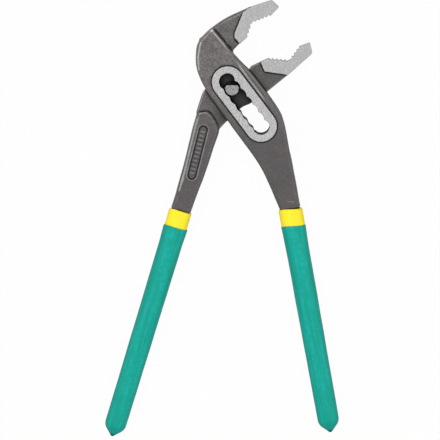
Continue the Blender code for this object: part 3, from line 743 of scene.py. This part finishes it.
def slope_heel(points, forging):
    """Points with the web's corner at the upper jaw's heel sloped down to the mouth."""
    along, across, height = (points @ SLOT_FRAME).T
    corner = (along < forging.heel_end) & (across > forging.shoulder_start)
    corner &= np.abs(height) < forging.web_half + forging.mesh_width
    drop = forging.heel_slope * np.clip(along - forging.heel_start, 0.0, None) * corner
    return points - UP * (height * drop / forging.web_half)[:, None]


def upper_shape(points, forging):
    """Points of the upper lever with its scallops, its shoulder and the slope at its heel."""
    return slope_heel(lower_shoulder(cut_scallops(points, forging), forging), forging)


def forged_skin(points, forging):
    """Height of the skin at each point: soft swells and a fine grain."""
    swell = [noise.noise(Vector(point) / forging.swell_width) for point in points]
    grain = [noise.noise(Vector(point) / forging.grain_width) for point in points]
    return forging.swell_depth * np.array(swell) + forging.grain_depth * np.array(grain)


def parting_line(points, normal, forging):
    """Height of the trimmed flash that runs round the sides at the mid plane."""
    side = np.clip(1.0 - forging.flash_fade * np.abs(normal[:, 2]), 0.0, 1.0)
    return forging.flash_height * np.exp(-(points[:, 2] / forging.flash_width) ** 2) * side


def nib_of_flash(points, normal, forging):
    """Height of the nib that the trimming left on the head."""
    away = np.hypot(points[:, 0] - forging.nib[0], points[:, 1] - forging.nib[1])
    return forging.nib_height * np.exp(-(away / forging.nib_width) ** 2)


def recess_ribs(points, normal, forging):
    """Height of the plain ribs across the floor of the recess, on both faces."""
    distance, reach = line_distance(points[:, 0], points[:, 1], forging.recess_top, forging.recess_bottom)
    inner = np.clip(forging.rib_slope * (forging.rib_reach - distance / forging.recess_radius), 0.0, 1.0)
    rib = np.clip(forging.rib_fill - np.cos(2 * math.pi * forging.rib_count * reach), 0.0, 1.0)
    return forging.rib_height * inner * rib * (np.abs(normal[:, 2]) > LEVEL)


def stand_out(points, normal, edges, forging):
    """How far each point stands out of its surroundings, less than nothing at the foot of a step."""
    settled = smoothed(points, edges, forging.wear_rounds)
    return ((points - settled) * normal).sum(axis=1) / forging.wear_depth


def forge(node, cut_zone, teeth_of, shape, extra, forging):
    """Fine mesh of a lever: rounded forged edges, crisp cut ones, and a forged skin."""
    mesh = even_mesh(node, forging.mesh_width)
    edges = read(mesh.edges, "vertices", 2, np.int32)
    points = shape(read(mesh.vertices, "co") - PIVOT, forging)
    normal = read(mesh.vertex_normals, "vector")
    cut = cut_zone(points @ SLOT_FRAME, normal @ SLOT_FRAME, forging)
    forged = smoothed(1.0 - cut[:, None], edges, forging.blending)
    teeth = teeth_of(points @ SLOT_FRAME, normal @ SLOT_FRAME, forging)
    points = deepen_teeth(smoothed(points, edges, forging.crispness), edges, teeth, forging)
    away_from_foot = np.clip(1.0 + stand_out(points, normal, edges, forging), forging.foot_rounding, 1.0)
    points = smoothed(points, edges, forging.rounding, DRAW * forged * away_from_foot[:, None])
    move_points(mesh, points)
    normal = read(mesh.vertex_normals, "vector")
    height = forged_skin(points, forging) + parting_line(points, normal, forging)
    height += extra(points, normal, forging)
    move_points(mesh, points + normal * height[:, None] * forged)
    return mesh


def store(mesh, name, values):
    """Keeps one number for each point of a mesh under a name."""
    mesh.attributes.new(name, "FLOAT", "POINT").data.foreach_set("value", values.astype(np.float32).ravel())


def mark_lever(mesh, finish_of, shaded, forging):
    """Gives a lever's faces their finish, and its points their bright edges of wear and painted highlight,
    and their painted shade.
    """
    points = read(mesh.vertices, "co") - PIVOT
    normal = read(mesh.vertex_normals, "vector")
    edges = read(mesh.edges, "vertices", 2, np.int32)
    wear_and_painted_light = stand_out(points, normal, edges, forging)
    # Painted highlight: only edges of nearly level faces are brightened, so that the sides stay dark
    level = np.interp(np.abs(normal[:, 2]), (forging.highlight_start, forging.highlight_full), (0.0, 1.0))
    place = points @ SLOT_FRAME
    wear_and_painted_light = np.where(wear_and_painted_light > 0.0, wear_and_painted_light * level * highlight_gain(points, place, forging), wear_and_painted_light)
    # Painted highlight lines, on the upper face only
    wear_and_painted_light += highlight_and_scratch_lines(points, forging) * (points[:, 2] > 0.0)
    store(mesh, "edge", wear_and_painted_light)
    # Painted shade, for the material to read
    store(mesh, "painted_shade", shaded(place, forging))
    faces = read(mesh.polygons, "center") - PIVOT
    finish = finish_of(faces @ SLOT_FRAME, read(mesh.polygons, "normal") @ SLOT_FRAME, forging)
    mesh.polygons.foreach_set("material_index", finish.astype(np.int32))


def highlight_gain(points, place, forging):
    """How much edges are brightened as painted highlight: most on the head's ridge and the box's shoulder,
    not by the collars.
    """
    away, _ = line_distance(points[:, 0], points[:, 1], forging.ridge_top, forging.ridge_end)
    step = (place[:, 1] - forging.shoulder_start) / forging.flank_width
    ridge = forging.ridge_highlight * np.exp(-(away / forging.ridge_width) ** 2)
    flank = forging.flank_highlight * np.exp(-step ** 2) * shoulder_reach(place[:, 0], forging)
    fade = np.clip((points[:, 1] - forging.highlight_end) / forging.highlight_fade, 0.0, 1.0)
    return fade * (1.0 + ridge + flank)


def highlight_and_scratch_lines(points, forging):
    """How bright the thin lines and the left tang's wide bevel are: painted highlight on the head's back rim
    and the bevel, and a scratch and a mark on the tangs.
    """
    x, y = points[:, 0], points[:, 1]
    away = np.min([line_distance(x, y, *(MM * np.array(ends)))[0] for ends in HIGHLIGHT_AND_SCRATCH_LINES.values()], axis=0)
    bevel, _ = line_distance(x, y, forging.bevel_start, forging.bevel_end)
    return np.maximum(forging.line_brightness * np.exp(-(away / forging.line_width) ** 2),
                      forging.bevel_highlight * np.exp(-(bevel / forging.bevel_width) ** 2))


def shade_web(place, forging):
    """Painted shade on all that lies as low as the web: the thin web behind the upper jaw and the lever's
    sides.
    """
    return forging.web_shade * (np.abs(place[:, 2]) < forging.web_half + forging.mesh_width)


def shade_plate(place, forging):
    """Painted shade on the plate: full where the box covers it at rest, some on the jaw's side and in the
    fork.
    """
    outside = (np.abs(place[:, 1]) - forging.box_half_width) / forging.painted_shade_fade
    fork = np.array((*forging.fork, 0.0)) @ SLOT_FRAME
    away = np.hypot(place[:, 0] - fork[0], place[:, 1] - fork[1])
    shade = np.where(place[:, 1] > 0.0, forging.plate_shade,
                     forging.fork_shade * np.exp(-(away / forging.fork_reach) ** 2))
    covered = np.clip(0.5 - outside, shade, 1.0)
    return covered * (np.abs(place[:, 2]) < forging.plate_half)


class Handle:
    """Centre line and outside sizes of a handle, measured on its two packed coats."""

    def __init__(self, side):
        grip = solid_points(side + "_grip")
        self.middle = grip.mean(axis=0)
        plan = (grip - self.middle)[:, :2]
        way = np.linalg.eigh(plan.T @ plan)[1][:, 1]
        way = -way if way[1] > 0 else way
        self.way = np.array((*way, 0.0))
        self.across = np.cross(UP, self.way)
        along, out = (grip - self.middle) @ self.way, np.abs((grip - self.middle) @ self.across)
        deep = np.abs(grip[:, 2])
        self.mouth, self.tip = along.min(), along.max()
        upper = along < 0
        lower = ~upper
        self.straight = along[lower][out[lower].argmax()]
        self.half_width = (out[upper].max(), out[lower].max())
        self.half_depth = (deep[upper].max(), deep[lower].max())
        sleeve = (solid_points(side + "_base_sleeve") - self.middle) @ self.way
        self.collar, self.bottom = sleeve.min(), sleeve.max()

    def size(self, along, inset):
        """Half width and half depth at a distance down the handle, less an inset."""
        step = (along - self.mouth) / (self.straight - self.mouth)
        return [near + (far - near) * step - inset for near, far in (self.half_width, self.half_depth)]

    def point(self, along, across, height):
        """Place in the frame of a point given down, across and above the centre line."""
        return PIVOT + self.middle * IN_PLAN + self.way * along + self.across * across + UP * height


def coat_loop(handle, dip, along, size, lean=0.0, wave=0.0, lump=0.0):
    """Oval loop round a handle, whose line leans and waves as a dipped edge does."""
    loop = []
    for index in range(LOOP_POINTS):
        turn = 2 * math.pi * index / LOOP_POINTS
        circle = (math.cos(turn), math.sin(turn))
        reach = [math.copysign(abs(part) ** (2 / dip.roundness), part) for part in circle]
        second = SECOND_WAVE * math.sin(3 * turn + SECOND_SHIFT * handle.mouth)
        ripple = wave * (math.sin(2 * turn + FIRST_SHIFT) + second)
        down = along + math.tan(lean) * size[0] * reach[0] + ripple
        place = handle.point(down, size[0] * reach[0], size[1] * reach[1])
        swell = lump * noise.noise(Vector(place) / dip.lump_width)
        loop.append(handle.point(down, (size[0] + swell) * reach[0], (size[1] + swell) * reach[1]))
    return loop


def coat_mesh(name, handle, loops):
    """Closed mesh through a coat's loops, with the way that the coat ran."""
    points = np.concatenate(loops)
    faces = []
    for start in range(0, len(points) - LOOP_POINTS, LOOP_POINTS):
        for index in range(LOOP_POINTS):
            following = (index + 1) % LOOP_POINTS
            faces.append((start + index, start + LOOP_POINTS + index,
                          start + LOOP_POINTS + following, start + following))
    faces.append(tuple(range(LOOP_POINTS)))
    faces.append(tuple(range(len(points) - 1, len(points) - LOOP_POINTS - 1, -1)))
    mesh = bpy.data.meshes.new(name)
    mesh.from_pydata(points.tolist(), [], faces)
    from_middle = points - PIVOT - handle.middle * IN_PLAN
    along = from_middle @ handle.way
    turn = np.arctan2(from_middle[:, 2], from_middle @ handle.across)
    run = np.stack((along, turn * handle.half_width[0], handle.tip - along), axis=1)
    kept = mesh.attributes.new("run", "FLOAT_VECTOR", "POINT")
    kept.data.foreach_set("vector", run.astype(np.float32).ravel())
    return mesh


def handle_sides(dip):
    """Side and body of each handle, the lean of its dip lines and the inset of its collar."""
    return (("right", "upper_lever", dip.right_tilt, dip.right_inset),
            ("left", "lower_lever", dip.left_tilt, dip.left_inset))


def lip_turns():
    """Angles of the half round that a coat's mouth turns through, from the inside out."""
    return [math.pi * step / ROUND_LOOPS for step in range(ROUND_LOOPS + 1)]


def collar_mesh(side, lean, outer, dip):
    """First coat: a collar with a rounded, slightly swollen top edge, and a thin coat under the grip."""
    handle = Handle(side)
    bore = dip.wall + dip.gap + dip.base_wall
    round_off = (bore - outer) / 2
    top = handle.collar - dip.gap
    loops = [coat_loop(handle, dip, handle.bottom - dip.base_wall, handle.size(handle.bottom, bore))]
    for turn in lip_turns():
        inset = outer + round_off * (1 + math.cos(turn))
        along = top + round_off * (1 - math.sin(turn))
        loops.append(coat_loop(handle, dip, along, handle.size(along, inset), lean, dip.dip_wave))
    end = handle.mouth - dip.gap
    for step in range(1, 2 * ROUND_LOOPS + 1):
        along = top + round_off + (end - top - round_off) * step / (2 * ROUND_LOOPS)
        bead = dip.bead * math.exp(-((along - top) / (dip.bead_length + round_off)) ** 2)
        size = handle.size(along, outer - bead)
        loops.append(coat_loop(handle, dip, along, size, lean, dip.dip_wave, dip.lump / 2))
    for along in (handle.mouth + dip.thin_start, handle.bottom):
        loops.append(coat_loop(handle, dip, along, handle.size(along, dip.wall + dip.gap)))
    return coat_mesh(side + "_collar", handle, loops)


def grip_mesh(side, lean, dip):
    """Second coat: rounded mouth, uneven straight, rounded end and the drip that hung from it."""
    handle = Handle(side)
    loops = [coat_loop(handle, dip, handle.straight, handle.size(handle.straight, dip.wall))]
    half_wall = dip.wall / 2
    for turn in lip_turns():
        inset = half_wall * (1 + math.cos(turn)) - dip.bead
        along = handle.mouth + half_wall * (1 - math.sin(turn))
        loops.append(coat_loop(handle, dip, along, handle.size(along, inset), lean, dip.dip_wave))
    first, last = handle.mouth + half_wall, grip_end(handle, dip)
    for step in range(1, COAT_LOOPS):
        part = step / COAT_LOOPS
        along = first + (last - first) * part
        fade = max(0.0, 1.0 - part / MOUTH_SHARE)
        settled = min(1.0, part / SETTLING_SHARE)
        inset = dip.lump * settled - dip.bead * fade ** 2
        loops.append(coat_loop(handle, dip, along, handle.size(along, inset), lean * fade,
                               dip.dip_wave * fade, dip.lump * settled))
    return coat_mesh(side + "_dipped_grip", handle, loops + drip_loops(handle, dip))


def grip_end(handle, dip):
    """How far down a handle the straight part of its grip ends."""
    return handle.tip - dip.drip - dip.shoulder * math.sin(dip.shoulder_turn)


def drip_loops(handle, dip):
    """Loops of a grip's rounded end and of the drip below it."""
    loops = []
    for step in range(2 * ROUND_LOOPS + 1):
        turn = dip.shoulder_turn * step / (2 * ROUND_LOOPS)
        along = grip_end(handle, dip) + dip.shoulder * math.sin(turn)
        size = handle.size(along, dip.lump + dip.shoulder * (1 - math.cos(turn)))
        loops.append(coat_loop(handle, dip, along, size, lump=dip.lump * math.cos(turn)))
    neck, start = size, along
    end = handle.tip - dip.drip_radius / 2
    for step in range(1, ROUND_LOOPS + 1):
        part = step / ROUND_LOOPS
        size = [wide + (dip.drip_radius - wide) * part for wide in neck]
        loops.append(coat_loop(handle, dip, start + (end - start) * part, size))
    for turn in lip_turns()[1:ROUND_LOOPS // 2 + 1]:
        radius = dip.drip_radius * max(math.cos(turn), LAST_LOOP)
        loops.append(coat_loop(handle, dip, end + dip.drip_radius / 2 * math.sin(turn), (radius, radius)))
    return loops


def add_floor(stage):
    """Wide plain floor that the tool lies on."""
    side = stage.floor_side / 2
    mesh = bpy.data.meshes.new("floor")
    corners = [(-side, -side, 0), (side, -side, 0), (side, side, 0), (-side, side, 0)]
    mesh.from_pydata(corners, [], [range(len(corners))])
    mesh.materials.append(pale_floor(stage))
    floor = bpy.data.objects.new("floor", mesh)
    bpy.context.scene.collection.objects.link(floor)


def light_sky(stage):
    """Soft light that comes mostly from above, with plain white behind for the camera."""
    world = bpy.data.worlds.new("soft_room")
    world.use_nodes = True
    tree = world.node_tree
    way = add_node(tree, "ShaderNodeTexCoord").outputs["Generated"]
    height = add_node(tree, "ShaderNodeSeparateXYZ", {"Vector": way}).outputs["Z"]
    soft = add_node(tree, "ShaderNodeMapRange", {
        "Value": height, "To Min": stage.sky_low, "To Max": stage.sky_high}).outputs["Result"]
    strength = add_node(tree, "ShaderNodeMapRange", {
        "Value": seen_as_background(tree), "To Min": soft}).outputs["Result"]
    set_inputs(tree, tree.nodes["Background"], {"Color": linear("#FFFFFF"), "Strength": strength})
    bpy.context.scene.world = world


def add_lamp(name, place, level, stage):
    """Square soft lamp that gives a level face a share of white light."""
    lamp = bpy.data.lights.new(name, "AREA")
    lamp.shape = "SQUARE"
    lamp.size = stage.lamp_side
    way = Vector(place)
    lamp.energy = level * math.pi ** 2 * way.length ** 3 / way.z
    holder = bpy.data.objects.new(name, lamp)
    holder.location = way
    holder.rotation_euler = way.to_track_quat("Z", "Y").to_euler()
    holder.visible_camera = False
    bpy.context.scene.collection.objects.link(holder)


def add_camera(stage):
    """Camera far above the tool, leaning slightly towards the jaws as the photograph does."""
    camera = bpy.data.cameras.new("camera")
    camera.sensor_width = stage.sensor
    camera.lens = stage.sensor * stage.distance / (stage.image_side * stage.pixel)
    camera.clip_end = 2 * stage.floor_side
    middle = stage.image_side / 2
    target = Vector(PIVOT)
    target.x += (middle - stage.pin_pixel[0]) * stage.pixel
    target.y += (stage.pin_pixel[1] - middle) * stage.pixel / math.cos(stage.lean)
    holder = bpy.data.objects.new("camera", camera)
    holder.location = target + stage.distance * Vector((0.0, math.sin(stage.lean), math.cos(stage.lean)))
    holder.rotation_euler = (-stage.lean, 0.0, 0.0)
    bpy.context.scene.collection.objects.link(holder)
    bpy.context.scene.camera = holder


def lever_steels(forging, ground):
    """Materials of a lever, in the order of its finishes."""
    return (forged_steel(forging), ground_steel("ground_jaw_steel", ground.bright, ground),
            machined_steel(forging), ground_steel("ground_ring_steel", ground.ring, ground))


class PLIERS_OT_upper_lever(Operator):
    """Adds the forging with the upper jaw, the slotted box and the right tang"""
    bl_idname = "pliers.upper_lever"
    bl_label = "Upper Lever"

    def execute(self, context):
        forging, ground = context.scene.pliers_forging, context.scene.pliers_ground
        mesh = forge("upper_jaw_lever", upper_cut, upper_teeth, upper_shape, nib_of_flash, forging)
        mark_lever(mesh, upper_finish, shade_web, forging)
        add_piece("upper_lever_forging", mesh, "upper_lever", "upper_jaw_lever", "forged_steel",
                  *lever_steels(forging, ground))
        return {"FINISHED"}


class PLIERS_OT_lower_lever(Operator):
    """Adds the forging with the lower jaw, the plate through the box and the left tang"""
    bl_idname = "pliers.lower_lever"
    bl_label = "Lower Lever"

    def execute(self, context):
        forging, ground = context.scene.pliers_forging, context.scene.pliers_ground
        mesh = forge("lower_jaw_lever", lower_cut, lower_teeth, as_packed, recess_ribs, forging)
        mark_lever(mesh, lower_finish, shade_plate, forging)
        add_piece("lower_lever_forging", mesh, "lower_lever", "lower_jaw_lever", "forged_steel",
                  *lever_steels(forging, ground))
        return {"FINISHED"}


class PLIERS_OT_pin(Operator):
    """Adds the turned pin with its flat"""
    bl_idname = "pliers.pin"
    bl_label = "Pin"

    def execute(self, context):
        forging = context.scene.pliers_forging
        mesh = even_mesh("pivot_pin", forging.pin_mesh_width)
        edges = read(mesh.edges, "vertices", 2, np.int32)
        points = read(mesh.vertices, "co") - PIVOT
        move_points(mesh, smoothed(points, edges, forging.crispness))
        height = np.abs((read(mesh.polygons, "center") - PIVOT)[:, 2])
        # The pin's length inside the box takes the machined finish, painted nearly black as shade
        shaded = height < HALF_TOTAL - forging.ring_rise
        mesh.polygons.foreach_set("material_index", shaded.astype(np.int32))
        add_piece("turned_pin", mesh, "pin", "pivot_pin", "pin_steel",
                  turned_steel(context.scene.pliers_ground), machined_steel(forging))
        return {"FINISHED"}


class PLIERS_OT_collars(Operator):
    """Adds the yellow first coat of both handles"""
    bl_idname = "pliers.collars"
    bl_label = "Collars"

    def execute(self, context):
        dip = context.scene.pliers_dip
        material = dipped_pvc("yellow_dipped_pvc", dip, dip.yellow, dip.yellow_deep, dip.yellow_shaded_side,
                              dip.yellow_deep)
        for side, body, lean, inset in handle_sides(dip):
            mesh = collar_mesh(side, lean, inset, dip)
            add_piece(side + "_collar", mesh, body, side + "_base_sleeve", "yellow_dip", material)
        return {"FINISHED"}


class PLIERS_OT_grips(Operator):
    """Adds the green second coat of both handles"""
    bl_idname = "pliers.grips"
    bl_label = "Grips"

    def execute(self, context):
        dip = context.scene.pliers_dip
        material = dipped_pvc("green_dipped_pvc", dip, dip.green, dip.green_deep, dip.green_shaded_side,
                              dip.green_tip)
        for side, body, lean, _ in handle_sides(dip):
            mesh = grip_mesh(side, lean, dip)
            add_piece(side + "_dipped_grip", mesh, body, side + "_grip", "green_dip", material)
        return {"FINISHED"}


class PLIERS_OT_stage(Operator):
    """Adds the floor, the soft light and the camera"""
    bl_idname = "pliers.stage"
    bl_label = "Stage"

    def execute(self, context):
        stage = context.scene.pliers_stage
        context.scene.view_settings.view_transform = "Standard"
        add_floor(stage)
        light_sky(stage)
        add_lamp("key_lamp", stage.key_place, stage.key, stage)
        add_lamp("fill_lamp", stage.fill_place, stage.fill, stage)
        add_camera(stage)
        return {"FINISHED"}


OPERATORS = (PLIERS_OT_upper_lever, PLIERS_OT_lower_lever, PLIERS_OT_pin, PLIERS_OT_collars,
             PLIERS_OT_grips, PLIERS_OT_stage)


class PLIERS_PT_looks(Panel):
    """Lists the steps that dress the pliers"""
    bl_label = "Pliers"
    bl_idname = "PLIERS_PT_looks"
    bl_space_type = "VIEW_3D"
    bl_region_type = "UI"
    bl_category = "Pliers"

    def draw(self, context):
        for operator in OPERATORS:
            self.layout.operator(operator.bl_idname)


GROUPS = {"pliers_forging": ForgingSettings, "pliers_ground": GroundSettings,
          "pliers_dip": DipSettings, "pliers_stage": StageSettings}


def register():
    """Registers the settings, the operators and the panel."""
    for name, group in GROUPS.items():
        bpy.utils.register_class(group)
        setattr(bpy.types.Scene, name, PointerProperty(type=group))
    for operator in OPERATORS:
        bpy.utils.register_class(operator)
    bpy.utils.register_class(PLIERS_PT_looks)


def unregister():
    """Takes the panel, the operators and the settings away again."""
    bpy.utils.unregister_class(PLIERS_PT_looks)
    for operator in reversed(OPERATORS):
        bpy.utils.unregister_class(operator)
    for name, group in reversed(GROUPS.items()):
        delattr(bpy.types.Scene, name)
        bpy.utils.unregister_class(group)


def main():
    """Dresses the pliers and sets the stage."""
    register()
    bpy.ops.pliers.upper_lever()
    bpy.ops.pliers.lower_lever()
    bpy.ops.pliers.pin()
    bpy.ops.pliers.collars()
    bpy.ops.pliers.grips()
    bpy.ops.pliers.stage()


if __name__ == "__main__":
    main()
